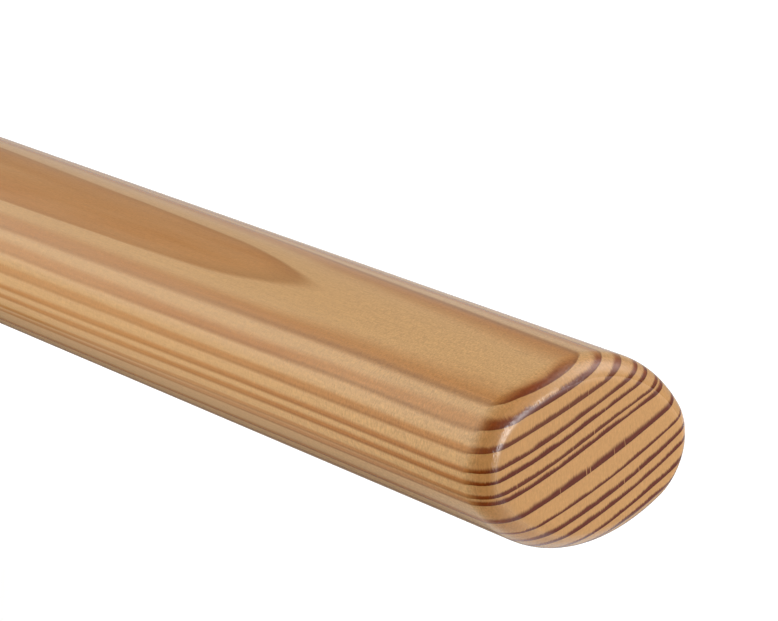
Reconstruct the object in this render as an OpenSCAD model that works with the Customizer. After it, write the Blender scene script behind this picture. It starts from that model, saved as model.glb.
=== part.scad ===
// Oval wooden grab rail on three turned stainless standoffs.
// X runs along the rail, Y across it and Z up. The origin lies on the mounting
// surface, under the middle of the rail.

/* [Rail] */
// Length over both rolled ends
rail_length = 1000; // [800:10:1600]
// Width of the oval
rail_width = 50; // [46:1:60]
// Height of the oval
rail_height = 30; // [26:1:36]
// Radius of the oval's two narrow sides
nose_radius = 10; // [8:0.5:12]
// Radius rolled round the rail's ends
end_radius = 4; // [2:0.5:6]
// Height of the rail's underside above the mounting surface
hand_clearance = 65; // [55:1:90]

/* [Standoffs] */
// Distance between neighbouring standoffs
standoff_pitch = 300; // [250:10:400]
// Diameter of the post at its foot and head
post_d = 20; // [18:1:24]
// Diameter of the post at the middle of its waist
waist_d = 14; // [12:1:16]
// Straight length left at each end of the post
post_land = 5; // [3:1:8]

/* [Base] */
// Diameter of the flange and its gasket
flange_d = 54; // [54:1:70]
// Thickness of the flange at its mounting holes
flange_t = 5; // [5:0.5:8]
// Radius rolled over the flange's top edge
flange_round = 2; // [1:0.5:3]
// Height of the hub above the flange
hub_h = 4; // [3:0.5:8]
// Wall of the hub round the post's foot
hub_wall = 2; // [1.5:0.5:2]
// Radius of the cove between hub and flange
cove = 1.5; // [1:0.5:1.5]
// Depth that the post's foot sinks into the hub
socket_depth = 2; // [1:0.5:2.5]
// Thickness of the gasket
gasket_t = 2; // [1:0.5:4]
// Number of mounting holes in each flange
mount_holes = 4; // [3:1:4]
// Diameter of the circle through the mounting holes
mount_pcd = 38; // [38:1:42]
// Diameter of a mounting hole
mount_hole_d = 5.5; // [4.5:0.5:6]
// Diameter of a mounting hole's countersink
mount_sink_d = 10.5; // [8:0.5:11]

/* [Saddle] */
// Length of the saddle along the rail
saddle_length = 84; // [76:1:110]
// Width of the saddle across the rail
saddle_width = 30; // [26:1:34]
// Thickness of the saddle's curved plate
saddle_t = 4; // [4:0.5:6]
// Height of the round pad under the saddle
pad_h = 3; // [3:0.5:6]
// Distance of each rail screw from the standoff's axis
rail_screw_offset = 30; // [24:1:32]
// Thickness of the sealant between saddle and rail
bedding = 0.2; // [0.1:0.05:0.5]

/* [Fasteners] */
// Shank diameter of the screw that holds a post to its flange
post_screw_d = 8; // [6:1:8]
// Length of that screw under the flange, head included
post_screw_length = 25; // [20:1:30]
// Shank diameter of the screw that holds a saddle to its post
saddle_screw_d = 6; // [5:1:6]
// Length of that screw, head included
saddle_screw_length = 20; // [16:1:25]
// Shank diameter of a rail screw
rail_screw_d = 5; // [4:0.5:5]
// Length of a rail screw, head included
rail_screw_length = 25; // [20:1:28]
// Hexagon key of the post screw, across its flats
post_screw_key = 5; // [4:0.5:5]
// Hexagon key of the saddle screw, across its flats
saddle_screw_key = 4; // [3:0.5:4]
// Square key of a rail screw, across its flats
rail_screw_key = 3; // [2:0.5:3]
// Depth of every screw's drive socket
drive_depth = 2; // [1.5:0.1:2.2]
// Chamfer on the tip of a machine screw
tip_chamfer = 1; // [0.5:0.1:1.5]
// Length of a rail screw's point
point_length = 6; // [4:0.5:8]
// How far a rail screw's head is sunk below the saddle's underside
head_sink = 0.4; // [0.3:0.1:0.6]

/* [Fits] */
// Gap round a screw's shank in its threaded or pilot hole
thread_gap = 0.05; // [0.02:0.01:0.1]
// Gap round a shank in a clearance hole, and round the post's foot
clear_gap = 0.2; // [0.1:0.05:0.4]
// Gap between a countersunk head and its seat, measured along the screw
seat_gap = 0.05; // [0.02:0.01:0.2]
// Depth left free beyond a screw's tip
tip_gap = 2; // [1:0.5:3]

/* [Hidden] */
$fn = 96;

// The oval is drawn from four centres: each nose arc runs on smoothly into the flank arcs.
nose_y = rail_width / 2 - nose_radius;
nose_drop = rail_height / 2 - nose_radius;
flank_z = (nose_y ^ 2 - nose_drop ^ 2) / (2 * nose_drop);
flank_radius = rail_height / 2 + flank_z;
rail_z = hand_clearance + rail_height / 2;

// Countersunk heads are twice as wide as the shank, with 90 degree sides.
head_ratio = 2;
// A rail screw's point is blunted to this diameter.
point_d = 0.8;

// Levels, from the mounting surface up.
flange_z = gasket_t;
hub_top = flange_z + flange_t + hub_h;
post_z = hub_top - socket_depth;
saddle_underside = hand_clearance - bedding - saddle_t;
post_top = saddle_underside - pad_h;
post_length = post_top - post_z;

hub_d = post_d + 2 * (clear_gap + hub_wall);
saddle_hollow = flank_radius + bedding;
saddle_screw_head = hand_clearance - bedding - head_sink;
rail_screw_head = saddle_underside + head_sink;

STATIONS = ["left", "middle", "right"];
PIECES = ["base_gasket", "base_flange", "post_screw", "post", "saddle", "saddle_screw", "rail_screws"];

function station_x(i) = (i - 1) * standoff_pitch;

// Half of a round bar's lengthwise section, with both end corners rolled over.
module bar_outline(radius) {
    straight = rail_length - 2 * end_radius;
    translate([0, -straight / 2]) square([radius, straight]);
    translate([0, -rail_length / 2]) square([radius - end_radius, rail_length]);
    for (side = [-1, 1])
        translate([radius - end_radius, side * straight / 2]) circle(end_radius);
}

// A round bar along X with rolled ends.
module bar(radius) {
    rotate([90, 0, 90]) rotate_extrude() bar_outline(radius);
}

// The part of the rail's section that belongs to the +Y nose: between the lines from
// the nose's centre through the two points where its arc hands over to a flank.
module nose_wedge() {
    // The wedge's outer corners lie this many times as far out as the nose's centre.
    far = 3;
    rotate([90, 0, 90]) translate([0, 0, -rail_length])
        linear_extrude(2 * rail_length)
            polygon([[nose_y, 0],
                     [far * nose_y, -(far - 1) * flank_z],
                     [far * nose_y, (far - 1) * flank_z]]);
}

// The broad top and bottom of the rail: where two large bars overlap, less the noses.
module flanks() {
    difference() {
        intersection() {
            translate([0, 0, -flank_z]) bar(flank_radius);
            translate([0, 0, flank_z]) bar(flank_radius);
        }
        nose_wedge();
        mirror([0, 1, 0]) nose_wedge();
    }
}

module nose() {
    intersection() {
        translate([0, nose_y, 0]) bar(nose_radius);
        nose_wedge();
    }
}

// A countersunk screw standing on its head: head face at z = 0, tip at its length.
// Its drive socket has the given number of sides.
module countersunk_screw(d, length, tip_d, tip_length, key, key_sides) {
    head_d = head_ratio * d;
    difference() {
        rotate_extrude()
            polygon([[0, 0], [head_d / 2, 0], [d / 2, (head_d - d) / 2],
                     [d / 2, length - tip_length], [tip_d / 2, length], [0, length]]);
        translate([0, 0, -1])
            cylinder(d = key / cos(180 / key_sides), h = drive_depth + 1, $fn = key_sides);
    }
}

// A machine screw: its tip is chamfered and a hexagon key turns it.
module machine_screw(d, length, key) {
    countersunk_screw(d, length, d - 2 * tip_chamfer, tip_chamfer, key, 6);
}

// The hole for a countersunk screw: head face at z = 0, clearance hole up to the depth.
module countersunk_hole(d, depth) {
    overrun = 5;
    head = head_ratio * d / 2 + seat_gap;
    shank = d / 2 + clear_gap;
    rotate_extrude()
        polygon([[0, -overrun], [head, -overrun], [head, 0], [shank, head - shank],
                 [shank, depth], [0, depth]]);
}

// Where the rail screws of one standoff stand.
module at_rail_screws() {
    for (side = [-1, 1]) translate([side * rail_screw_offset, 0, rail_screw_head]) children();
}

// Where the mounting holes stand round one flange.
module at_mount_holes() {
    for (i = [0:mount_holes - 1])
        rotate([0, 0, (i + 0.5) * 360 / mount_holes]) translate([mount_pcd / 2, 0, 0]) children();
}

module rail() {
    color("peru") difference() {
        translate([0, 0, rail_z]) {
            flanks();
            nose();
            mirror([0, 1, 0]) nose();
        }
        for (i = [0:len(STATIONS) - 1])
            translate([station_x(i), 0, 0]) at_rail_screws()
                cylinder(d = rail_screw_d + 2 * thread_gap, h = rail_screw_length + tip_gap);
    }
}

module base_gasket() {
    color("dimgray") difference() {
        cylinder(d = flange_d, h = gasket_t);
        translate([0, 0, -1]) {
            cylinder(d = head_ratio * post_screw_d + 2 * clear_gap, h = gasket_t + 2);
            at_mount_holes() cylinder(d = mount_hole_d, h = gasket_t + 2);
        }
    }
}

// Lengthwise section of the flange and its hub, from the axis outwards.
module flange_outline() {
    edge = flange_d / 2 - flange_round;
    square([edge, flange_t]);
    square([flange_d / 2, flange_t - flange_round]);
    translate([edge, flange_t - flange_round]) circle(flange_round);
    square([hub_d / 2, flange_t + hub_h]);
    translate([hub_d / 2 - 1, flange_t - 1]) difference() {
        square(cove + 1);
        translate([cove + 1, cove + 1]) circle(cove);
    }
}

module base_flange() {
    sink_h = (mount_sink_d - mount_hole_d) / 2;
    color("silver") translate([0, 0, flange_z]) difference() {
        rotate_extrude() flange_outline();
        translate([0, 0, flange_t + hub_h - socket_depth])
            cylinder(d = post_d + 2 * clear_gap, h = socket_depth + 1);
        countersunk_hole(post_screw_d, flange_t + hub_h);
        at_mount_holes() {
            translate([0, 0, -1]) cylinder(d = mount_hole_d, h = flange_t + 2);
            translate([0, 0, flange_t - sink_h])
                cylinder(d1 = mount_hole_d, d2 = mount_sink_d, h = sink_h);
            translate([0, 0, flange_t]) cylinder(d = mount_sink_d, h = hub_h);
        }
    }
}

module post_screw() {
    color("gainsboro") translate([0, 0, flange_z])
        machine_screw(post_screw_d, post_screw_length, post_screw_key);
}

// A turned post: its waist is one hollow arc between the two lands.
module post() {
    hollow_h = post_length - 2 * post_land;
    hollow = (post_d - waist_d) / 2;
    hollow_radius = ((hollow_h / 2) ^ 2 + hollow ^ 2) / (2 * hollow);
    lower_bore = flange_z + post_screw_length + tip_gap - post_z;
    upper_bore = post_top - (saddle_screw_head - saddle_screw_length - tip_gap);
    color("silver") translate([0, 0, post_z]) difference() {
        rotate_extrude() difference() {
            square([post_d / 2, post_length]);
            translate([waist_d / 2 + hollow_radius, post_length / 2]) circle(hollow_radius, $fn = 360);
        }
        translate([0, 0, -1]) cylinder(d = post_screw_d + 2 * thread_gap, h = lower_bore + 1);
        translate([0, 0, post_length - upper_bore])
            cylinder(d = saddle_screw_d + 2 * thread_gap, h = upper_bore + 1);
    }
}

// A round-ended plate, curved to the rail's underside, on a round pad.
module saddle() {
    straight = saddle_length - saddle_width;
    rise = hand_clearance + flank_radius;
    color("silver") difference() {
        union() {
            intersection() {
                translate([0, 0, saddle_underside - 1]) linear_extrude(saddle_width) {
                    square([straight, saddle_width], center = true);
                    for (side = [-1, 1]) translate([side * straight / 2, 0]) circle(d = saddle_width);
                }
                translate([-saddle_length, 0, rise]) rotate([0, 90, 0])
                    cylinder(r = saddle_hollow + saddle_t, h = 2 * saddle_length);
            }
            translate([0, 0, post_top]) cylinder(d = post_d, h = pad_h + saddle_t / 2);
        }
        translate([-saddle_length, 0, rise]) rotate([0, 90, 0])
            cylinder(r = saddle_hollow, h = 2 * saddle_length);
        translate([0, 0, saddle_screw_head]) mirror([0, 0, 1])
            countersunk_hole(saddle_screw_d, saddle_length);
        at_rail_screws() countersunk_hole(rail_screw_d, saddle_length);
    }
}

module saddle_screw() {
    color("gainsboro") translate([0, 0, saddle_screw_head]) mirror([0, 0, 1])
        machine_screw(saddle_screw_d, saddle_screw_length, saddle_screw_key);
}

module rail_screws() {
    color("gainsboro") at_rail_screws()
        countersunk_screw(rail_screw_d, rail_screw_length, point_d, point_length, rail_screw_key, 4);
}

rail();
for (i = [0:len(STATIONS) - 1]) translate([station_x(i), 0, 0]) {
    base_gasket();
    base_flange();
    post_screw();
    post();
    saddle();
    saddle_screw();
    rail_screws();
}
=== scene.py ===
# %% [markdown]
# # A varnished wooden grab rail on stainless standoffs
# The construction model comes first: it is loaded as a fixed frame, in metres, and nothing in it
# is moved. This lesson then dresses it. The rail gets a smooth skin and a solid wood finish, the
# fittings get turned and brushed steel, and a plain studio is set up round them.

# %% Load the frame
import math

import bpy
import numpy as np
from mathutils import Matrix, Vector


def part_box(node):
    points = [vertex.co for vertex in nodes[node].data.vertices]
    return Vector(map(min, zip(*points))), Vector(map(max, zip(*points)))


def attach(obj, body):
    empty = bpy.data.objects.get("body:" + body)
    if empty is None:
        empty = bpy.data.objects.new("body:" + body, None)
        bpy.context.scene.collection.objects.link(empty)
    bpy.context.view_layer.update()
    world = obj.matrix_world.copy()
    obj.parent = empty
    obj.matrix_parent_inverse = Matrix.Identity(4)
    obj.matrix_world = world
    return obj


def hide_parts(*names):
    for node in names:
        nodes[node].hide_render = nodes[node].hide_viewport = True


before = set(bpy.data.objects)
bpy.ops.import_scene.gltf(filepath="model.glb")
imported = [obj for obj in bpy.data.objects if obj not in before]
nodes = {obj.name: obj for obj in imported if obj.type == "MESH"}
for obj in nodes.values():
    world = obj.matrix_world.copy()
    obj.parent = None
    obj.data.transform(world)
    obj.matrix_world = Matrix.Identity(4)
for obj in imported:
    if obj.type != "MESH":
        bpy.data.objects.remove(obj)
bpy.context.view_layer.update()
MM = 0.001

# %% [markdown]
# ## The camera
# The picture is a close view of one end of the rail, taken with a long lens and the camera rolled
# a little to the left. Everything is measured from the middle of that end face, so the camera is
# placed by its bearing, its height angle, its roll and its distance from there. It then slides a
# little to the left and up, which frames the rail without shifting the lens.

# %% Place the camera
END_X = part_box("rail")[1].x
RAIL_Z = 80 * MM
BEARING = 40.62
RISE = 9.16
ROLL = math.radians(12.21)
DISTANCE = 372.93 * MM
TARGET_RIGHT = -29.82 * MM
TARGET_UP = 21.30 * MM
FOCAL_PIXELS = 2567.6
FRAME_WIDTH = 778


def toward(bearing, rise):
    """A unit vector at a bearing, 0 towards -Y and 90 towards +X, and a height angle, in degrees."""
    turned = math.radians(bearing)
    raised = math.radians(rise)
    level = math.cos(raised)
    return Vector((level * math.sin(turned), -level * math.cos(turned), math.sin(raised)))


back = toward(BEARING, RISE)
level = toward(BEARING + 90, 0)
upright = back.cross(level)
right = level * math.cos(ROLL) + upright * math.sin(ROLL)
up = upright * math.cos(ROLL) - level * math.sin(ROLL)
end_middle = Vector((END_X, 0.0, RAIL_Z))

lens = bpy.data.cameras.new("camera")
lens.sensor_width = 36.0
lens.lens = FOCAL_PIXELS / FRAME_WIDTH * lens.sensor_width
lens.clip_start = 0.01
lens.clip_end = 200.0
camera = bpy.data.objects.new("camera", lens)
turn = Matrix((right, up, back)).transposed().to_4x4()
camera.matrix_world = Matrix.Translation(
    end_middle + right * TARGET_RIGHT + up * TARGET_UP + back * DISTANCE
) @ turn
bpy.context.scene.collection.objects.link(camera)
bpy.context.scene.camera = camera
print("camera at", tuple(round(v, 4) for v in camera.location), "lens", round(lens.lens, 2), "mm")

# %% [markdown]
# ## From arrays to a mesh
# A shape here is a stack of closed rings of points: a numpy array of rows, each row one ring. Quads
# join each ring to the next, and a fan of triangles closes each end on a single point, so there is
# no seam and no hole. The faces are worked out as whole index arrays.

# %% Mesh helper
def ringed_mesh(name, rings, first, last):
    """Closes a stack of rings into one mesh. rings has the shape (rows, columns, 3); first and last
    are the points that close the two ends. Vertex r * columns + c is column c of row r, and the two
    closing points come after all of them."""
    rows, columns, _ = rings.shape
    points = np.vstack([rings.reshape(-1, 3), [first, last]])
    index = np.arange(rows * columns).reshape(rows, columns)
    ahead = np.roll(index, -1, axis=1)
    quads = np.stack([index[:-1], ahead[:-1], ahead[1:], index[1:]], axis=-1).reshape(-1, 4)
    start = np.full(columns, rows * columns)
    opening = np.stack([start, ahead[0], index[0]], axis=-1)
    closing = np.stack([start + 1, index[-1], ahead[-1]], axis=-1)
    mesh = bpy.data.meshes.new(name)
    mesh.from_pydata(points.tolist(), [], quads.tolist() + opening.tolist() + closing.tolist())
    mesh.shade_smooth()
    piece = bpy.data.objects.new(name, mesh)
    bpy.context.scene.collection.objects.link(piece)
    return piece


# %% [markdown]
# ## The oval
# A hand closes well round an oval. A joiner draws this one with a compass: two flat arcs for the
# flanks, joined by two tight ones for the noses. An ellipse would look much the same, but an arc can
# be drawn inward by any amount and stays an arc, which the rolled ends need.

# %% The oval
OVAL_WIDTH = 50 * MM
OVAL_HEIGHT = 30 * MM
NOSE_RADIUS = 10 * MM


def oval(turns, inset):
    """Points of the four-arc oval, drawn inward by inset. Each arc keeps its centre and loses inset
    from its radius. turns runs from 0 to 1 round the outline, and the arcs meet where the line
    through both centres crosses it, so the angle of the normal is shared there."""
    reach = OVAL_WIDTH / 2 - NOSE_RADIUS
    rise = OVAL_HEIGHT / 2 - NOSE_RADIUS
    drop = (reach**2 - rise**2) / (2 * rise)
    flank = OVAL_HEIGHT / 2 + drop
    meet = np.arctan2(drop, reach)
    angle = 2 * np.pi * turns
    side = np.where(np.cos(angle) >= 0, 1.0, -1.0)
    top = np.where(np.sin(angle) >= 0, 1.0, -1.0)
    nose = np.abs(np.arctan2(np.sin(angle), np.abs(np.cos(angle)))) < meet
    radius = np.where(nose, NOSE_RADIUS, flank) - inset
    across = np.where(nose, side * reach, 0.0) + radius * np.cos(angle)
    height = np.where(nose, 0.0, -top * drop) + radius * np.sin(angle)
    return across, height


oval_sizes = [float(np.ptp(part)) / MM for part in oval(np.linspace(0.0, 1.0, 721), 0.0)]
print("oval", round(oval_sizes[0], 2), "by", round(oval_sizes[1], 2), "mm")

# %% [markdown]
# ## The skin along the rail
# The rail's ends are rolled over to a flat face. The construction model has the same shape in small
# flat triangles, and a gloss finish shows every one of them. So the skin is made again as a smooth
# surface: the oval, drawn inward by what the rolled edge takes off at each station along the rail.

# %% The rail's rings
END_ROUND = 4 * MM


def rail_skin(columns=240, body_rows=40, roll_rows=14, face_rows=5):
    """Rings from the middle of one end face to the middle of the other. On a face the inset outline
    shrinks to its middle; round the edge the inset is END_ROUND * (1 - cos) while the station moves
    by END_ROUND * sin; along the body the inset is nothing. Also gives how much each ring faces
    along the rail, which is how much end grain it shows."""
    turns = (np.arange(columns) + 0.5) / columns
    roll = np.linspace(0.0, np.pi / 2, roll_rows)
    station = np.concatenate([
        np.full(face_rows, END_X),
        END_X - END_ROUND + END_ROUND * np.cos(roll),
        np.linspace(END_X - END_ROUND, END_ROUND - END_X, body_rows + 2)[1:-1],
        END_ROUND - END_X - END_ROUND * np.sin(roll),
        np.full(face_rows, -END_X),
    ])
    inset = np.concatenate([
        np.full(face_rows, END_ROUND),
        END_ROUND * (1 - np.sin(roll)),
        np.zeros(body_rows),
        END_ROUND * (1 - np.cos(roll)),
        np.full(face_rows, END_ROUND),
    ])
    fill = (np.arange(face_rows) + 1) / (face_rows + 0.25)
    scale = np.concatenate([fill, np.ones(2 * roll_rows + body_rows), fill[::-1]])
    facing = np.concatenate([
        np.ones(face_rows), np.cos(roll), np.zeros(body_rows), np.sin(roll), np.ones(face_rows)
    ])
    across, height = oval(turns[None, :], inset[:, None])
    rings = np.stack([
        np.broadcast_to(station[:, None], across.shape),
        across * scale[:, None],
        RAIL_Z + height * scale[:, None],
    ], axis=-1)
    return rings, np.repeat(facing, columns)


rings, facing = rail_skin()
print("rings", rings.shape[0], "of", rings.shape[1], "points")

# %% [markdown]
# ## The rail as a piece
# The rings become one mesh that stands for the rail of the construction model. A number is kept on
# each vertex, end_grain: 1 on the flat end, 0 on the long faces, and between them round the rolled
# edge. The wood finish reads it, because end grain and long grain take varnish differently.

# %% The rail piece
rail = ringed_mesh("varnished_rail", rings, (END_X, 0.0, RAIL_Z), (-END_X, 0.0, RAIL_Z))
end_grain = rail.data.attributes.new("end_grain", "FLOAT", "POINT")
end_grain.data.foreach_set("value", np.append(facing, [1.0, 1.0]).astype(np.float32))
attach(rail, "root")
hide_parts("rail")
print("rail", len(rail.data.polygons), "faces", "size", tuple(round(v / MM, 2) for v in rail.dimensions))

# %% [markdown]
# ## Building shaders in code
# A material is a graph of nodes. It could be drawn by hand in the editor, but in code it can be read
# from top to bottom. A few small helpers keep it short: one adds a node and sets or links its
# sockets, the others do arithmetic, mixing and noise.

# %% Node helpers
def add(tree, kind, sockets=None, **settings):
    """Adds a shader node. Each socket is set to a value, or linked if the value is another socket."""
    node = tree.nodes.new("ShaderNode" + kind)
    for name, value in settings.items():
        setattr(node, name, value)
    for name, value in (sockets or {}).items():
        if isinstance(value, bpy.types.NodeSocket):
            tree.links.new(value, node.inputs[name])
        else:
            node.inputs[name].default_value = value
    return node


def calc(tree, operation, *values):
    """One Math node on up to three values or sockets."""
    return add(tree, "Math", dict(enumerate(values)), operation=operation).outputs[0]


def total(tree, first, *others):
    """Several values or sockets added up."""
    for value in others:
        first = calc(tree, "ADD", first, value)
    return first


def product(tree, first, *others):
    """Several values or sockets multiplied together."""
    for value in others:
        first = calc(tree, "MULTIPLY", first, value)
    return first


def diagonal(tree, first, second):
    """The length of the diagonal over two sides, by Pythagoras."""
    squares = total(tree, product(tree, first, first), product(tree, second, second))
    return calc(tree, "SQRT", squares)


def ramp(tree, value, low, high, to_low=0.0, to_high=1.0, smooth=True):
    """Carries value from the range low..high to to_low..to_high, held at both ends."""
    kind = "SMOOTHSTEP" if smooth else "LINEAR"
    node = add(tree, "MapRange", {
        "Value": value, "From Min": low, "From Max": high, "To Min": to_low, "To Max": to_high,
    }, interpolation_type=kind)
    return node.outputs["Result"]


def noise(tree, vector, scale, detail=2.0, roughness=0.5):
    """A Noise texture's value, from about 0 to 1 with 0.5 as its mean."""
    node = add(tree, "TexNoise", {
        "Vector": vector, "Scale": scale, "Detail": detail, "Roughness": roughness,
    })
    return node.outputs["Fac"]


def centred(tree, value):
    """Noise moved from a mean of 0.5 to a mean of 0."""
    return calc(tree, "SUBTRACT", value, 0.5)


# %% [markdown]
# ## Node groups
# A pattern that several materials or several steps share is kept in a group of its own, with named
# sockets, like a function. The wood below needs three of them and the steel one.

# %% Group helpers
def group(name, inputs, outputs):
    """A new node group with named sockets: its tree, its input node and its output node."""
    tree = bpy.data.node_groups.new(name, "ShaderNodeTree")
    for label, kind in inputs.items():
        tree.interface.new_socket(label, in_out="INPUT", socket_type="NodeSocket" + kind)
    for label, kind in outputs.items():
        tree.interface.new_socket(label, in_out="OUTPUT", socket_type="NodeSocket" + kind)
    return tree, tree.nodes.new("NodeGroupInput"), tree.nodes.new("NodeGroupOutput")


def give(tree, result, values):
    """Links each value to the group's output of that name, and says how big the group is."""
    for label, value in values.items():
        tree.links.new(value, result.inputs[label])
    print(tree.name, len(tree.nodes), "nodes, gives", ", ".join(values))


# %% [markdown]
# ## Where a point lies in the tree
# Wood is a solid pattern. The rail was sawn from one side of a trunk, so its growth rings are arcs
# round a pith that lies far above it and to one side. This group turns a point of the rail into
# wood coordinates, in millimetres: inward along the fibres, around the ring and across the rings.
# The place around the ring is also kept in steps of 20 mm, which gives the next cells round numbers.

# %% Wood coordinates
PITH_Y = -83.56 * MM
PITH_UP = 157.24 * MM
TREE_RADIUS = 178.0
TURN_STEP = 20.0
tree, given, result = group(
    "wood_place",
    {"Position": "Vector"},
    {"Along": "Float", "Around": "Float", "Across": "Float", "Grain": "Vector"},
)
place = add(tree, "SeparateXYZ", {"Vector": given.outputs["Position"]}).outputs
inward = product(tree, calc(tree, "SUBTRACT", END_X, place["X"]), 1 / MM)
side = calc(tree, "SUBTRACT", place["Y"], PITH_Y)
below = calc(tree, "SUBTRACT", RAIL_Z + PITH_UP, place["Z"])
across = calc(tree, "MULTIPLY_ADD", diagonal(tree, side, below), -1 / MM, PITH_UP / MM)
bearing = calc(tree, "SUBTRACT", calc(tree, "ARCTAN2", side, below), math.atan2(-PITH_Y, PITH_UP))
around = product(tree, bearing, TREE_RADIUS)
turned = product(tree, around, 1 / TURN_STEP)
print("pith", round(math.hypot(PITH_Y, PITH_UP) / MM, 1), "mm from the rail's axis")

# %% [markdown]
# ## Rings that drift along the rail
# The fibres aren't quite parallel to the rail, so the rings shift as they run along it, and where a
# ring leaves the crown of the rail it draws a pointed lens. The shift is least on the near side and
# grows towards the far one. Each row gives where a step starts and ends around the ring, and the
# shift per millimetre of rail before and after it.

# %% Drift
DRIFTS = (
    (-1.0, -0.6, 0.0078, 0.008),
    (-0.55, -0.1, 0.0, 0.0057),
    (0.0, 0.4, 0.0, 0.006),
)
slope = total(tree, *(ramp(tree, turned, *step) for step in DRIFTS))
drift = product(tree, slope, inward)
print("drift up to", round(1000 * sum(step[3] for step in DRIFTS), 1), "mm in a metre")

# %% [markdown]
# ## Rings that aren't perfect arcs
# No trunk is a true circle. Here the outer rings tilt, the middle ones wave and the inner ones bow.
# Each bend is a short polynomial of the place around the ring, with its factors in rising powers,
# and two ramps across the rings keep it in its own zone.

# %% Bends
TILT = 0.72
WAVE = (-0.65, 0.78, 1.03)
BOW = (0.25, -0.85)
powers = [turned, product(tree, turned, turned)]
powers.append(product(tree, powers[1], turned))


def bend(tree, factors, *fades):
    """A polynomial of the place around the ring, times one ramp across the rings for each fade."""
    curve = total(tree, *(product(tree, power, factor) for power, factor in zip(powers, factors)))
    return product(tree, curve, *(ramp(tree, across, none, full) for none, full in fades))


tilted = ramp(tree, across, -9.0, -5.4, 0.0, TILT, smooth=False)
tilt = product(tree, tilted, ramp(tree, across, -4.0, -4.8, smooth=False), turned)
wave = bend(tree, WAVE, (-10.3, -12.9), (-22.9, -18.5))
bow = bend(tree, BOW, (-22.9, -28.5), (-34.5, -31.0))
bent = total(tree, drift, tilt, wave, bow)
print("bends: tilt", TILT, "wave", WAVE, "bow", BOW)

# %% [markdown]
# ## Soft dents
# A tree also grows unevenly in single places. Two dents swell the crown and blunt the lens, one dips
# the outer rings at the near corner, one lets the middle ones sag a little further in, and one
# lifts the low side behind the end. A dent is its depth in millimetres times a few smooth ramps,
# each a value with the place where the dent ends and the place where it is full.

# %% Dents
DENTS = (
    (0.34, (inward, 48.0, 72.0), (inward, 165.0, 80.0), (turned, -0.75, 0.0), (turned, 0.6, 0.15)),
    (0.18, (inward, 48.0, 72.0), (turned, 0.6, 0.15), (turned, -1.3, -0.2)),
    (0.2, (turned, -0.65, -0.85), (inward, 40.0, 5.0), (across, -11.0, -8.5)),
    (-0.26, (inward, 5.0, 45.0), (inward, 90.0, 45.0), (across, -11.0, -13.0)),
    (0.12, (turned, -0.8, -1.1), (inward, 0.5, 8.0)),
)
for depth, *edges in DENTS:
    dent = product(tree, depth, *(ramp(tree, *edge) for edge in edges))
    bent = total(tree, bent, dent)
print("dents", len(DENTS))

# %% [markdown]
# ## Small wandering
# A tree sways as it grows, so no ring runs quite true. Noise that is slow along the fibres and
# quicker around the ring gives a long swing and a short one. Both are held back near the end and
# on the crown, where a ring runs almost along the surface and the smallest swing shows as a big one.

# %% Wander
SWINGS = ((0.016, 0.1, 0.25), (0.045, 0.3, 0.25))
CROWN = -0.35


def swing(tree, along, sideways, size):
    """Noise from -size / 2 to size / 2 that turns over in 1 / along and 1 / sideways millimetres."""
    stretch = add(tree, "CombineXYZ", {
        "X": product(tree, inward, along),
        "Y": product(tree, around, sideways),
        "Z": product(tree, across, sideways),
    }).outputs[0]
    return product(tree, centred(tree, noise(tree, stretch, 1.0, 1.0)), size)


wander = total(tree, *(swing(tree, *sizes) for sizes in SWINGS))
off_crown = calc(tree, "ABSOLUTE", calc(tree, "SUBTRACT", turned, CROWN))
behind_end = ramp(tree, inward, 3.0, 30.0, 0.25, 1.0)
wander = product(tree, wander, behind_end, ramp(tree, off_crown, 0.25, 0.6, 0.2, 1.0))
true_across = total(tree, across, bent, wander)
grain = add(tree, "CombineXYZ", {"X": inward, "Y": around, "Z": true_across}).outputs[0]
give(tree, result, {"Along": inward, "Around": around, "Across": true_across, "Grain": grain})
wood_place = tree

# %% [markdown]
# ## Growth rings
# A softwood ring starts pale in spring and darkens slowly into summer wood, which stops at a sharp
# line where the next spring begins. Each ring is written as the place of that line, the width of its
# dark part, the width over which it fades in, and how dark it gets. The dark parts are added up.
# Feather shifts the soft side of a ring, Bleed softens its sharp side as soaked varnish does, and
# Last Cells gives the darkest cells by themselves, just before the line.

# %% Growth rings
RINGS = (
    (9.4, 0.8, 0.6, 0.8), (7.1, 0.5, 0.6, 0.7), (4.3, 0.9, 0.7, 0.9), (2.1, 0.5, 0.5, 0.7),
    (-0.6, 0.8, 0.6, 0.8), (-3.2, 1.2, 0.6, 0.95), (-5.43, 0.75, 0.9, 1.0), (-7.6, 0.85, 0.6, 0.95),
    (-10.32, 0.85, 0.5, 0.9), (-12.94, 0.6, 0.6, 0.95), (-14.82, 0.65, 0.5, 1.0),
    (-17.19, 0.55, 0.4, 0.95), (-18.5, 0.6, 0.5, 1.0), (-22.89, 0.8, 1.0, 1.0),
    (-26.33, 0.45, 0.5, 1.0), (-28.97, 0.75, 0.55, 1.0), (-31.06, 0.6, 0.5, 1.0),
    (-33.53, 0.5, 0.5, 1.0), (-35.6, 0.6, 0.5, 1.0), (-38.3, 0.7, 0.6, 0.9), (-40.6, 0.6, 0.5, 0.8),
)
FULL_DEPTH = 0.7
LAST_CELLS = (0.35, 0.02)
LINE_HALF = 0.05
tree, given, result = group(
    "growth_rings",
    {"Across": "Float", "Feather": "Float", "Bleed": "Float"},
    {"Latewood": "Float", "Last Cells": "Float"},
)
out = given.outputs["Across"]
feathered = total(tree, out, given.outputs["Feather"])
summer = 0.0
last_cells = 0.0
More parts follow.
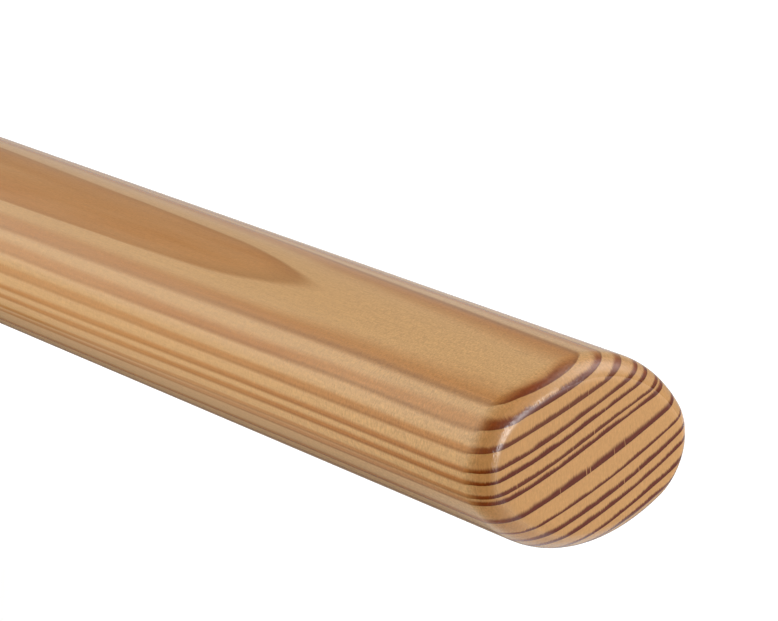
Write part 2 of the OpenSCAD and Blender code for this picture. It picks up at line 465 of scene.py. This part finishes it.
for line, width, fade, depth in RINGS:
    darkens = ramp(tree, feathered, line + width + fade, line + FULL_DEPTH * width, 0.0, depth)
    closes = ramp(tree, out, line + LAST_CELLS[0], line + LAST_CELLS[1], 0.0, depth)
    bled = calc(tree, "SUBTRACT", line - LINE_HALF, given.outputs["Bleed"])
    stops = ramp(tree, out, bled, line + LINE_HALF)
    summer = calc(tree, "MULTIPLY_ADD", darkens, stops, summer)
    last_cells = calc(tree, "MULTIPLY_ADD", closes, stops, last_cells)
give(tree, result, {"Latewood": summer, "Last Cells": last_cells})
growth_rings = tree

# %% [markdown]
# ## Fibres and rays
# Finer patterns live in the same wood coordinates, each a noise stretched its own way. Fibres are
# thin and long: streaks on a long face, pores on an end face. Threads are longer still. Rays are
# sheets that run out from the pith, so their noise is stretched across the rings, and a few of them
# have opened in the end grain and show as pale hairlines. Clouds are broad stains, and flecks are
# the fine speckle of varnish that dried in the pores. A row gives how many grains lie in a
# millimetre along, around and across, and how much finer detail is added.

# %% Fibres and rays
FIBRES = {
    "Fibre": (0.8, 3.6, 3.6, 3.0),
    "Thread": (0.045, 2.0, 2.0, 2.0),
    "Ray": (0.35, 5.5, 0.5, 2.0),
    "Hairline": (0.2, 2.4, 0.16, 0.0),
    "Cloud": (0.02, 0.16, 0.16, 2.0),
    "Fleck": (4.4, 2.2, 1.6, 2.0),
}
FIBRE_ROUGHNESS = 0.6
HAIRLINE_FROM = 0.76
HAIRLINE_FULL = 0.83
tree, given, result = group("wood_fibres", {"Grain": "Vector"}, dict.fromkeys(FIBRES, "Float"))
patterns = {}
for label, (*grains, detail) in FIBRES.items():
    squeezed = add(tree, "VectorMath", {0: given.outputs["Grain"], 1: grains}, operation="MULTIPLY")
    patterns[label] = noise(tree, squeezed.outputs[0], 1.0, detail, FIBRE_ROUGHNESS)
patterns["Hairline"] = ramp(tree, patterns["Hairline"], HAIRLINE_FROM, HAIRLINE_FULL)
give(tree, result, patterns)
wood_fibres = tree

# %% [markdown]
# ## Colours and materials
# Colours are written as they look on a screen, which is how a maker reads them off a sample, and are
# turned into light for the shader. A new material comes with Blender's Principled shader, which covers
# varnish, steel and rubber alike.

# %% Material helpers
def colour(red, green, blue):
    """A colour as it looks on a screen, 0 to 255 for each part, turned into linear light."""
    screen = np.array([red, green, blue]) / 255
    light = np.where(screen <= 0.04045, screen / 12.92, ((screen + 0.055) / 1.055) ** 2.4)
    return (*light.tolist(), 1.0)


def between(tree, amount, first, second):
    """Mixes two numbers."""
    return add(tree, "Mix", {0: amount, 2: first, 3: second}).outputs[0]


def blend(tree, amount, first, second):
    """Mixes two colours."""
    return add(tree, "Mix", {0: amount, 6: first, 7: second}, data_type="RGBA").outputs[2]


def material(name):
    """A new material, its tree and its Principled shader, which is linked to the output already."""
    made = bpy.data.materials.new(name)
    made.use_nodes = True
    return made, made.node_tree, made.node_tree.nodes["Principled BSDF"]


# %% [markdown]
# ## Varnished wood, and the rings on it
# The wood finish starts by placing the point in the tree. On the end grain the rays comb a ring's
# line a little, and everywhere the clouds and rays feather its soft side. On the long faces the
# varnish has bled over the sharp side of the lower rings. Latewood shows in two ways: as low, patchy
# bands on the long faces, and soaked and dark on the end grain, less so on the far side of the crown.

# %% Wood, the rings
COMB = 0.18
FEATHER_LONG = 0.2
FEATHER_END = 0.45
CLOUD_FEATHER = 1.1
BLEED = 0.4
FAR_CROWN_LIGHTER = -0.4
varnished_wood, tree, shader = material("varnished_wood")
position = add(tree, "TexCoord").outputs["Object"]
spot = add(tree, "Group", {"Position": position}, node_tree=wood_place).outputs
fibres = add(tree, "Group", {"Grain": spot["Grain"]}, node_tree=wood_fibres).outputs
endness = add(tree, "Attribute", attribute_name="end_grain").outputs["Fac"]

comb = centred(tree, fibres["Ray"])
combing = ramp(tree, endness, 0.5, 1.0, 0.0, COMB)
combed = calc(tree, "MULTIPLY_ADD", comb, combing, spot["Across"])
feather = product(tree, comb, ramp(tree, endness, 0.3, 1.0, FEATHER_LONG, FEATHER_END))
feather = total(tree, product(tree, centred(tree, fibres["Cloud"]), CLOUD_FEATHER), feather)
lower_rings = ramp(tree, spot["Across"], -4.4, -5.2, 0.1, 1.0)
bleed = product(tree, ramp(tree, endness, 0.03, 0.42, BLEED, 0.0), lower_rings)
ring_inputs = {"Across": combed, "Feather": feather, "Bleed": bleed}
ringed = add(tree, "Group", ring_inputs, node_tree=growth_rings).outputs

patchy = ramp(tree, fibres["Cloud"], 0.3, 0.7, 0.7, 1.1, smooth=False)
summer = product(tree, ringed["Latewood"], patchy)
soaked = ramp(tree, ringed["Latewood"], 0.05, 1.1, 0.0, 1.03)
upper_rings = ramp(tree, spot["Across"], -6.5, -5.6)
far_crown = product(tree, upper_rings, ramp(tree, spot["Around"], -9.0, 6.0))
soaked = product(tree, soaked, calc(tree, "MULTIPLY_ADD", far_crown, FAR_CROWN_LIGHTER, 1.0))
print("varnished_wood", len(tree.nodes), "nodes after the rings")

# %% [markdown]
# ## The colours of the wood
# End grain drinks varnish, so its rings are dark brown where those of the long faces are honey. The
# rolled edge lies between the two and is deepest in colour. On the near side its early wood is darker
# still, which is painted shade, because that side gets little light. The lower bands of the long faces
# darken towards the end, where varnish has soaked in from it.

# %% Wood, the colours
EARLY_LONG = colour(204, 159, 104)
# The darker early colour is painted shade, used only on the near side of the rolled edge.
EARLY_SHADED_ROLL = colour(195, 140, 82)
EARLY_END = colour(204, 153, 97)
LATE_LONG = colour(182, 122, 58)
LATE_SIDE = colour(172, 108, 48)
LATE_ROLLED = colour(128, 56, 4)
LATE_END = colour(99, 38, 20)
cut = ramp(tree, endness, 0.05, 0.62)
on_roll = product(tree, ramp(tree, endness, 0.25, 0.65), ramp(tree, endness, 0.97, 0.88))
# Painted shade: the early wood on the near side of the rolled edge turns darker, as that side gets little
# light.
shaded_near_roll = product(tree, on_roll, ramp(tree, spot["Around"], -4.0, -14.0))
early = blend(tree, shaded_near_roll, blend(tree, cut, EARLY_LONG, EARLY_END), EARLY_SHADED_ROLL)
towards_end = ramp(tree, spot["Along"], 80.0, 15.0)
soaking = product(tree, towards_end, ramp(tree, spot["Across"], -6.0, -13.0))
rolled = blend(tree, cut, blend(tree, soaking, LATE_LONG, LATE_SIDE), LATE_ROLLED)
late = blend(tree, ramp(tree, endness, 0.7, 0.97), rolled, LATE_END)
body = blend(tree, between(tree, cut, summer, soaked), early, late)
print("varnished_wood", len(tree.nodes), "nodes after the colours")

# %% [markdown]
# ## Streaks, speckle and hairlines
# The finer patterns make the colour a little lighter and darker: streaks along the fibres or rays,
# a speckle that is strongest behind the end, long threads on the long faces, and a darker last line
# on each ring. Opened rays lie over all of it as pale hairlines, on the flat end only.

# %% Wood, the fine patterns
STREAK_DARK = 0.92
STREAK_LIGHT = 1.08
SPECKLE_BEHIND = 0.85
SPECKLE_FAR = 0.3
SPECKLE_END = 0.32
THREADS = 0.16
LINE_FAR = -0.1
LINE_NEAR = -0.24
HAIRLINE_SHARE = 0.75
HAIRLINE_COLOUR = colour(214, 160, 104)
streak = between(tree, ramp(tree, endness, 0.5, 1.0), fibres["Fibre"], fibres["Ray"])
streaked = ramp(tree, streak, 0.25, 0.75, STREAK_DARK, STREAK_LIGHT, smooth=False)
speckle = ramp(tree, spot["Along"], 60.0, 12.0, SPECKLE_FAR, SPECKLE_BEHIND)
speckle = between(tree, ramp(tree, endness, 0.5, 0.9), speckle, SPECKLE_END)
flecked = calc(tree, "MULTIPLY_ADD", centred(tree, fibres["Fleck"]), speckle, 1.0)
threads = ramp(tree, endness, 0.0, 0.4, THREADS, 0.0)
threaded = calc(tree, "MULTIPLY_ADD", centred(tree, fibres["Thread"]), threads, 1.0)
line_dark = ramp(tree, spot["Along"], 90.0, 20.0, LINE_FAR, LINE_NEAR)
lined = calc(tree, "MULTIPLY_ADD", ringed["Last Cells"], line_dark, 1.0)
tone = product(tree, streaked, flecked, threaded, lined)
toned = add(tree, "VectorMath", {0: body, "Scale": tone}, operation="SCALE").outputs[0]
opened = product(tree, fibres["Hairline"], ramp(tree, endness, 0.9, 1.0, 0.0, HAIRLINE_SHARE))
tree.links.new(blend(tree, opened, toned, HAIRLINE_COLOUR), shader.inputs["Base Color"])
print("varnished_wood", len(tree.nodes), "nodes after the fine patterns")

# %% [markdown]
# ## The varnish
# The varnish is the shader's own gloss over a faint relief of fibres and flecks, so that a highlight
# breaks up as it does on a brushed coat. The relief is strongest on the rolled edge, where the grain
# stands up. The flat end has drunk its varnish and is nearly matt.

# %% Wood, the gloss
RELIEF_LONG = 0.1
RELIEF_ROLLED = 0.26
RELIEF_END_SHARE = 0.7
RELIEF_DEPTH = 0.2 * MM
SUMMER_RELIEF = 0.25
GLOSS_SMOOTH = 0.13
GLOSS_ROUGH = 0.2
END_MATT = 0.78
VARNISH_IOR = 1.42
fine_relief = total(tree, streak, fibres["Fleck"])
relief = calc(tree, "MULTIPLY_ADD", summer, SUMMER_RELIEF, fine_relief)
raised = ramp(tree, endness, 0.25, 0.6, RELIEF_LONG, RELIEF_ROLLED)
raised = product(tree, raised, ramp(tree, endness, 0.97, 1.0, 1.0, RELIEF_END_SHARE))
bump = add(tree, "Bump", {"Height": relief, "Strength": raised, "Distance": RELIEF_DEPTH})
tree.links.new(bump.outputs["Normal"], shader.inputs["Normal"])
rough = ramp(tree, fibres["Fibre"], 0.3, 0.7, GLOSS_SMOOTH, GLOSS_ROUGH, smooth=False)
rough = total(tree, rough, ramp(tree, endness, 0.94, 1.0, 0.0, END_MATT))
tree.links.new(rough, shader.inputs["Roughness"])
shader.inputs["IOR"].default_value = VARNISH_IOR
rail.data.materials.append(varnished_wood)
print("varnished_wood", len(tree.nodes), "nodes")

# %% [markdown]
# ## Tool marks
# Bare steel is never blank. A lathe leaves fine rings round a turned post or flange, a belt leaves
# straight lines along a pressed saddle, and hands leave soft smudges. Rings and lines are both noise
# that is squeezed thin in one direction. The standoffs repeat every 300 mm, so the distance to the
# nearest post axis is all that the turned rings need.

# %% Tool marks
POST_PITCH = 0.3
LATHE_LINES = 3000.0
LATHE_TURN = 0.8
BELT_LINES = 4000.0
BELT_ALONG = 45.0
SCRATCH_LINES = 900.0
SCRATCH_ALONG = 60.0
SMUDGE_SCALE = 70.0
tree, given, result = group(
    "tool_marks",
    {"Position": "Vector"},
    {"Turned": "Float", "Brushed": "Float", "Smudge": "Float", "Scratch": "Float"},
)
x, y, z = add(tree, "SeparateXYZ", {"Vector": given.outputs["Position"]}).outputs
steps = calc(tree, "ROUND", calc(tree, "DIVIDE", x, POST_PITCH))
beside = calc(tree, "MULTIPLY_ADD", steps, -POST_PITCH, x)
radius = diagonal(tree, beside, y)
angle = calc(tree, "ARCTAN2", y, beside)


def marks(tree, detail, *scaled):
    """Noise on three values of the steel's own, each given with the fineness of its grain."""
    axes = {axis: product(tree, value, fine) for axis, (value, fine) in zip("XYZ", scaled)}
    return noise(tree, add(tree, "CombineXYZ", axes).outputs[0], 1.0, detail, 0.6)


lathe = marks(tree, 2.0, (radius, LATHE_LINES), (z, LATHE_LINES), (angle, LATHE_TURN))
belt = marks(tree, 2.0, (x, BELT_ALONG), (y, BELT_LINES), (z, BELT_LINES))
smudges = noise(tree, given.outputs["Position"], SMUDGE_SCALE, 3.0, 0.55)
scratches = marks(tree, 1.0, (x, SCRATCH_LINES), (y, SCRATCH_LINES), (z, SCRATCH_ALONG))
scratches = ramp(tree, scratches, 0.72, 0.8)
give(tree, result, {"Turned": lathe, "Brushed": belt, "Smudge": smudges, "Scratch": scratches})
tool_marks = tree

# %% [markdown]
# ## Stainless steel
# The three steels share one recipe. The marks make the roughness and a faint relief, the smudges
# dull it in patches, and the colour swings a little between two greys. Only the kind of mark, the
# depth of the grey and the polish differ: posts and flanges come from the lathe, saddles from the
# belt, and screws are a shade darker.

# %% Steel materials
MARK_SHADE = 0.45
SMUDGE_SHADE = 0.55
MARK_ROUGH = 0.07
SCRATCH_ROUGH = 0.1
STEEL_RELIEF = 0.12
STEEL_DEPTH = 0.04 * MM


def steel(name, mark, light, dark, low_rough, high_rough):
    """A metal whose colour runs from dark to light and whose roughness runs from low to high with
    the smudges, with a fine relief from the named mark."""
    made, tree, shader = material(name)
    position = add(tree, "TexCoord").outputs["Object"]
    tooled = add(tree, "Group", {"Position": position}, node_tree=tool_marks).outputs
    cloudy = product(tree, tooled["Smudge"], SMUDGE_SHADE)
    shade = ramp(tree, calc(tree, "MULTIPLY_ADD", tooled[mark], MARK_SHADE, cloudy), 0.3, 0.7)
    tree.links.new(blend(tree, shade, dark, light), shader.inputs["Base Color"])
    dull = ramp(tree, tooled["Smudge"], 0.35, 0.7, low_rough, high_rough)
    dull = calc(tree, "MULTIPLY_ADD", tooled[mark], MARK_ROUGH, dull)
    dull = calc(tree, "MULTIPLY_ADD", tooled["Scratch"], SCRATCH_ROUGH, dull)
    tree.links.new(dull, shader.inputs["Roughness"])
    relief = calc(tree, "SUBTRACT", tooled[mark], tooled["Scratch"])
    bump = add(tree, "Bump", {"Height": relief, "Strength": STEEL_RELIEF, "Distance": STEEL_DEPTH})
    tree.links.new(bump.outputs["Normal"], shader.inputs["Normal"])
    shader.inputs["Metallic"].default_value = 1.0
    print(name, len(tree.nodes), "nodes")
    return made


turned_steel = steel("turned_steel", "Turned", colour(196, 194, 189), colour(172, 170, 166), 0.16, 0.26)
brushed_steel = steel("brushed_steel", "Brushed", colour(190, 188, 184), colour(166, 165, 162), 0.24, 0.34)
screw_steel = steel("screw_steel", "Brushed", colour(168, 167, 166), colour(140, 140, 141), 0.2, 0.3)

# %% [markdown]
# ## Gasket rubber
# The gaskets are cut from black sheet rubber. It is matt, faintly pebbled by the roller that pressed
# it, and greyer where dust has stayed in the pebbles. One fine noise makes the pebbles, and a coarse
# one multiplied with it says where the dust lies.

# %% Rubber material
PEBBLE_SCALE = 2400.0
DUST_SCALE = 160.0
PEBBLE_DEPTH = 0.1 * MM
CLEAN_RUBBER = colour(33, 33, 35)
DUSTY_RUBBER = colour(62, 61, 60)
gasket_rubber, tree, shader = material("gasket_rubber")
position = add(tree, "TexCoord").outputs["Object"]
pebble = noise(tree, position, PEBBLE_SCALE, 2.0, 0.6)
dust = product(tree, noise(tree, position, DUST_SCALE, 3.0, 0.6), pebble)
dust = ramp(tree, dust, 0.2, 0.4)
tree.links.new(blend(tree, dust, CLEAN_RUBBER, DUSTY_RUBBER), shader.inputs["Base Color"])
tree.links.new(ramp(tree, dust, 0.0, 1.0, 0.5, 0.72), shader.inputs["Roughness"])
bump = add(tree, "Bump", {"Height": pebble, "Strength": 0.3, "Distance": PEBBLE_DEPTH})
tree.links.new(bump.outputs["Normal"], shader.inputs["Normal"])
print("gasket_rubber", len(tree.nodes), "nodes")

# %% [markdown]
# ## A finish for each fitting
# The fittings keep the solids of the construction model, whose shapes are right already, and only
# change their finish. The nodes are named after what they are, so the end of each name picks it.

# %% Hand out the finishes
FINISHES = {
    "gasket": gasket_rubber, "flange": turned_steel, "post": turned_steel, "saddle": brushed_steel,
    "screw": screw_steel, "screws": screw_steel, "rail": varnished_wood,
}
for name, node in nodes.items():
    finish = FINISHES[name.split("_")[-1]]
    for slot in node.material_slots:
        slot.material = finish
    print(name, "->", finish.name)

# %% [markdown]
# ## The floor
# The floor is a wide pale plane. It has to look white to the camera without throwing more light on
# the rail, so it is pale to the camera, with some plain white mixed in, and darker to bounced light.
# What is left of its shading keeps the soft shadow under the fittings.

# %% Floor
FLOOR_SPAN = 40.0
SEEN_GREY = 0.9
BOUNCED_GREY = 0.25
MIRRORED_SHADE_GREY = 0.05


def grey(level):
    """A grey of an even level of light, 0 for black and 1 for white."""
    return (level, level, level, 1.0)


corners = [(-1, -1, 0), (1, -1, 0), (1, 1, 0), (-1, 1, 0)]
floor_mesh = bpy.data.meshes.new("floor")
floor_mesh.from_pydata((np.array(corners) * FLOOR_SPAN).tolist(), [], [(0, 1, 2, 3)])
floor = bpy.data.objects.new("floor", floor_mesh)
bpy.context.scene.collection.objects.link(floor)
pale_floor, tree, shader = material("pale_floor")
floor.data.materials.append(pale_floor)
shader.inputs["Roughness"].default_value = 1.0
shader.inputs["Specular IOR Level"].default_value = 0.0
rays = add(tree, "LightPath").outputs
mirrored = calc(tree, "MAXIMUM", rays["Is Glossy Ray"], rays["Is Transmission Ray"])
# Painted shade in the reflection: mirrored rays see the floor nearly black, unless the painted glow below
# lifts it.
bounced = blend(tree, mirrored, grey(BOUNCED_GREY), grey(MIRRORED_SHADE_GREY))
shown_grey = blend(tree, rays["Is Camera Ray"], bounced, grey(SEEN_GREY))
tree.links.new(shown_grey, shader.inputs["Base Color"])
print("floor", 2 * FLOOR_SPAN, "m wide")

# %% [markdown]
# ## The floor in the varnish
# Varnish mirrors the floor, and how much of it shows decides how deep the wood looks. The floor seen
# in the varnish is a painted reflection: mirrored rays see it nearly black, lifted by a painted glow.
# Between the rail's ends the glow rises towards the front and again far behind, and past the ends,
# where the rolled edge looks, it is bright only beyond the rail and far off. The dark stretch under
# and behind the rail is a painted shadow of the rail, and the dark floor before the ends is painted shade.

# %% Floor in the varnish
PLAIN_WHITE = 2.1
CAMERA_SHARE = 0.24
ground = add(tree, "SeparateXYZ", {"Vector": add(tree, "TexCoord").outputs["Object"]}).outputs
past_end = ramp(tree, calc(tree, "ABSOLUTE", ground["X"]), 0.4, 0.48)
in_front = ramp(tree, ground["Y"], 0.06, -0.2, 0.04, 0.58, smooth=False)
far_behind = ramp(tree, ground["Y"], 0.35, 0.7, 0.0, 0.5)
beyond = ramp(tree, ground["Y"], -0.01, 0.04, 0.0, 0.58)
beyond = product(tree, beyond, ramp(tree, ground["Y"], 0.2, 0.1, 0.45, 1.0))
far_off = ramp(tree, ground["Y"], -0.6, -1.2, 0.0, 0.5)
# The painted reflection level: a glow where the floor would be lit, and none in the painted shadow under
# the rail.
painted = between(tree, past_end, total(tree, in_front, far_behind), total(tree, beyond, far_off))
to_camera = product(tree, rays["Is Camera Ray"], CAMERA_SHARE)
share = calc(tree, "MAXIMUM", to_camera, product(tree, mirrored, painted))
white = add(tree, "Emission", {"Color": grey(1.0), "Strength": PLAIN_WHITE})
mixed = add(tree, "MixShader", {0: share, 1: shader.outputs[0], 2: white.outputs[0]})
tree.links.new(mixed.outputs[0], tree.nodes["Material Output"].inputs["Surface"])
print("pale_floor", len(tree.nodes), "nodes")

# %% [markdown]
# ## The sky
# A gloss finish mirrors the edges of every lamp, so most of the light is painted on the sky as soft
# glows with no edge: a broad one to the front left, a bright one behind the rail, a dim one overhead,
# a small one low on the back left and one to the right. The side where the camera stands stays
# dark, which keeps the colour deep on the rolled edge. The camera sees plain white instead, and
# mirrored rays a tenth of that white, because more of it would wash out the varnish. A row
# gives bearing, height angle, the angles where the glow is full and where it ends, and its radiance.

# %% Sky
GLOWS = (
    (-50, 5, 15, 70, 2.35),
    (152, 39, 4, 25, 3.9),
    (-120, 80, 10, 70, 0.25),
    (-140, 3, 3, 24, 0.36),
    (98, 22, 10, 45, 0.65),
)
SKY_LEVEL = 0.14
MIRRORED_SHARE = 0.1
studio = bpy.data.worlds.new("studio")
studio.use_nodes = True
bpy.context.scene.world = studio
tree = studio.node_tree
look = add(tree, "TexCoord").outputs["Generated"]
light = SKY_LEVEL
for bearing, rise, full, none, radiance in GLOWS:
    facing = add(tree, "VectorMath", {0: look, 1: toward(bearing, rise)}, operation="DOT_PRODUCT")
    edge, core = (math.cos(math.radians(angle)) for angle in (none, full))
    light = total(tree, ramp(tree, facing.outputs["Value"], edge, core, 0.0, radiance), light)
rays = add(tree, "LightPath").outputs
mirrored = calc(tree, "MAXIMUM", rays["Is Glossy Ray"], rays["Is Transmission Ray"])
to_mirrors = product(tree, mirrored, MIRRORED_SHARE)
shown = calc(tree, "MAXIMUM", rays["Is Camera Ray"], to_mirrors)
backdrop = tree.nodes["Background"]
backdrop.inputs["Color"].default_value = grey(1.0)
tree.links.new(between(tree, shown, light, 1.0), backdrop.inputs["Strength"])
bpy.context.scene.view_settings.view_transform = "Standard"
print("sky", len(GLOWS), "glows,", len(tree.nodes), "nodes")

# %% [markdown]
# ## The lamps
# Three flat lamps do what the sky can't. A tall strip on the right lights the end grain. A card at
# the same place shows only in the gloss and makes the gleam on the rolled edge; it is shaded off
# just past the end, so that it doesn't streak the rest of the rail. A wide fill lies low in front
# and lights the underside, as a sheet of white paper would.

# %% Lamps
SIDE_AWAY = toward(107, 6)
STRIP_DISTANCE = 0.3
CARD_DISTANCE = 0.295
CARD_FULL = 0.308
CARD_ENDS = 0.32
FILL_PLACE = (0.01, -0.24, 0.004)


def panel(name, wide, tall, radiance):
    """A rectangular lamp of an even radiance, which the camera doesn't see."""
    light = bpy.data.lights.new(name, "AREA")
    light.shape = "RECTANGLE"
    light.size = wide
    light.size_y = tall
    light.energy = radiance * math.pi * wide * tall
    lamp = bpy.data.objects.new(name, light)
    lamp.visible_camera = False
    bpy.context.scene.collection.objects.link(lamp)
    print(name, round(light.energy, 3), "W")
    return lamp


strip = panel("right_strip", wide=0.085, tall=0.205, radiance=8.0)
strip.location = end_middle + SIDE_AWAY * STRIP_DISTANCE
strip.rotation_euler = SIDE_AWAY.to_track_quat("Z", "Y").to_euler()
strip.visible_glossy = False

card = panel("gleam_card", wide=0.13, tall=0.205, radiance=15.0)
card.location = end_middle + SIDE_AWAY * CARD_DISTANCE
card.rotation_euler = SIDE_AWAY.to_track_quat("Z", "Y").to_euler()
card.visible_diffuse = False
card.data.use_nodes = True
tree = card.data.node_tree
ray_length = add(tree, "LightPath").outputs["Ray Length"]
shaded = ramp(tree, ray_length, CARD_FULL, CARD_ENDS, 1.0, 0.0)
tree.links.new(shaded, tree.nodes["Emission"].inputs["Strength"])

fill = panel("low_fill", wide=1.04, tall=0.445, radiance=0.92)
fill.location = FILL_PLACE
fill.rotation_euler = (math.pi, 0.0, 0.0)
fill.visible_glossy = False
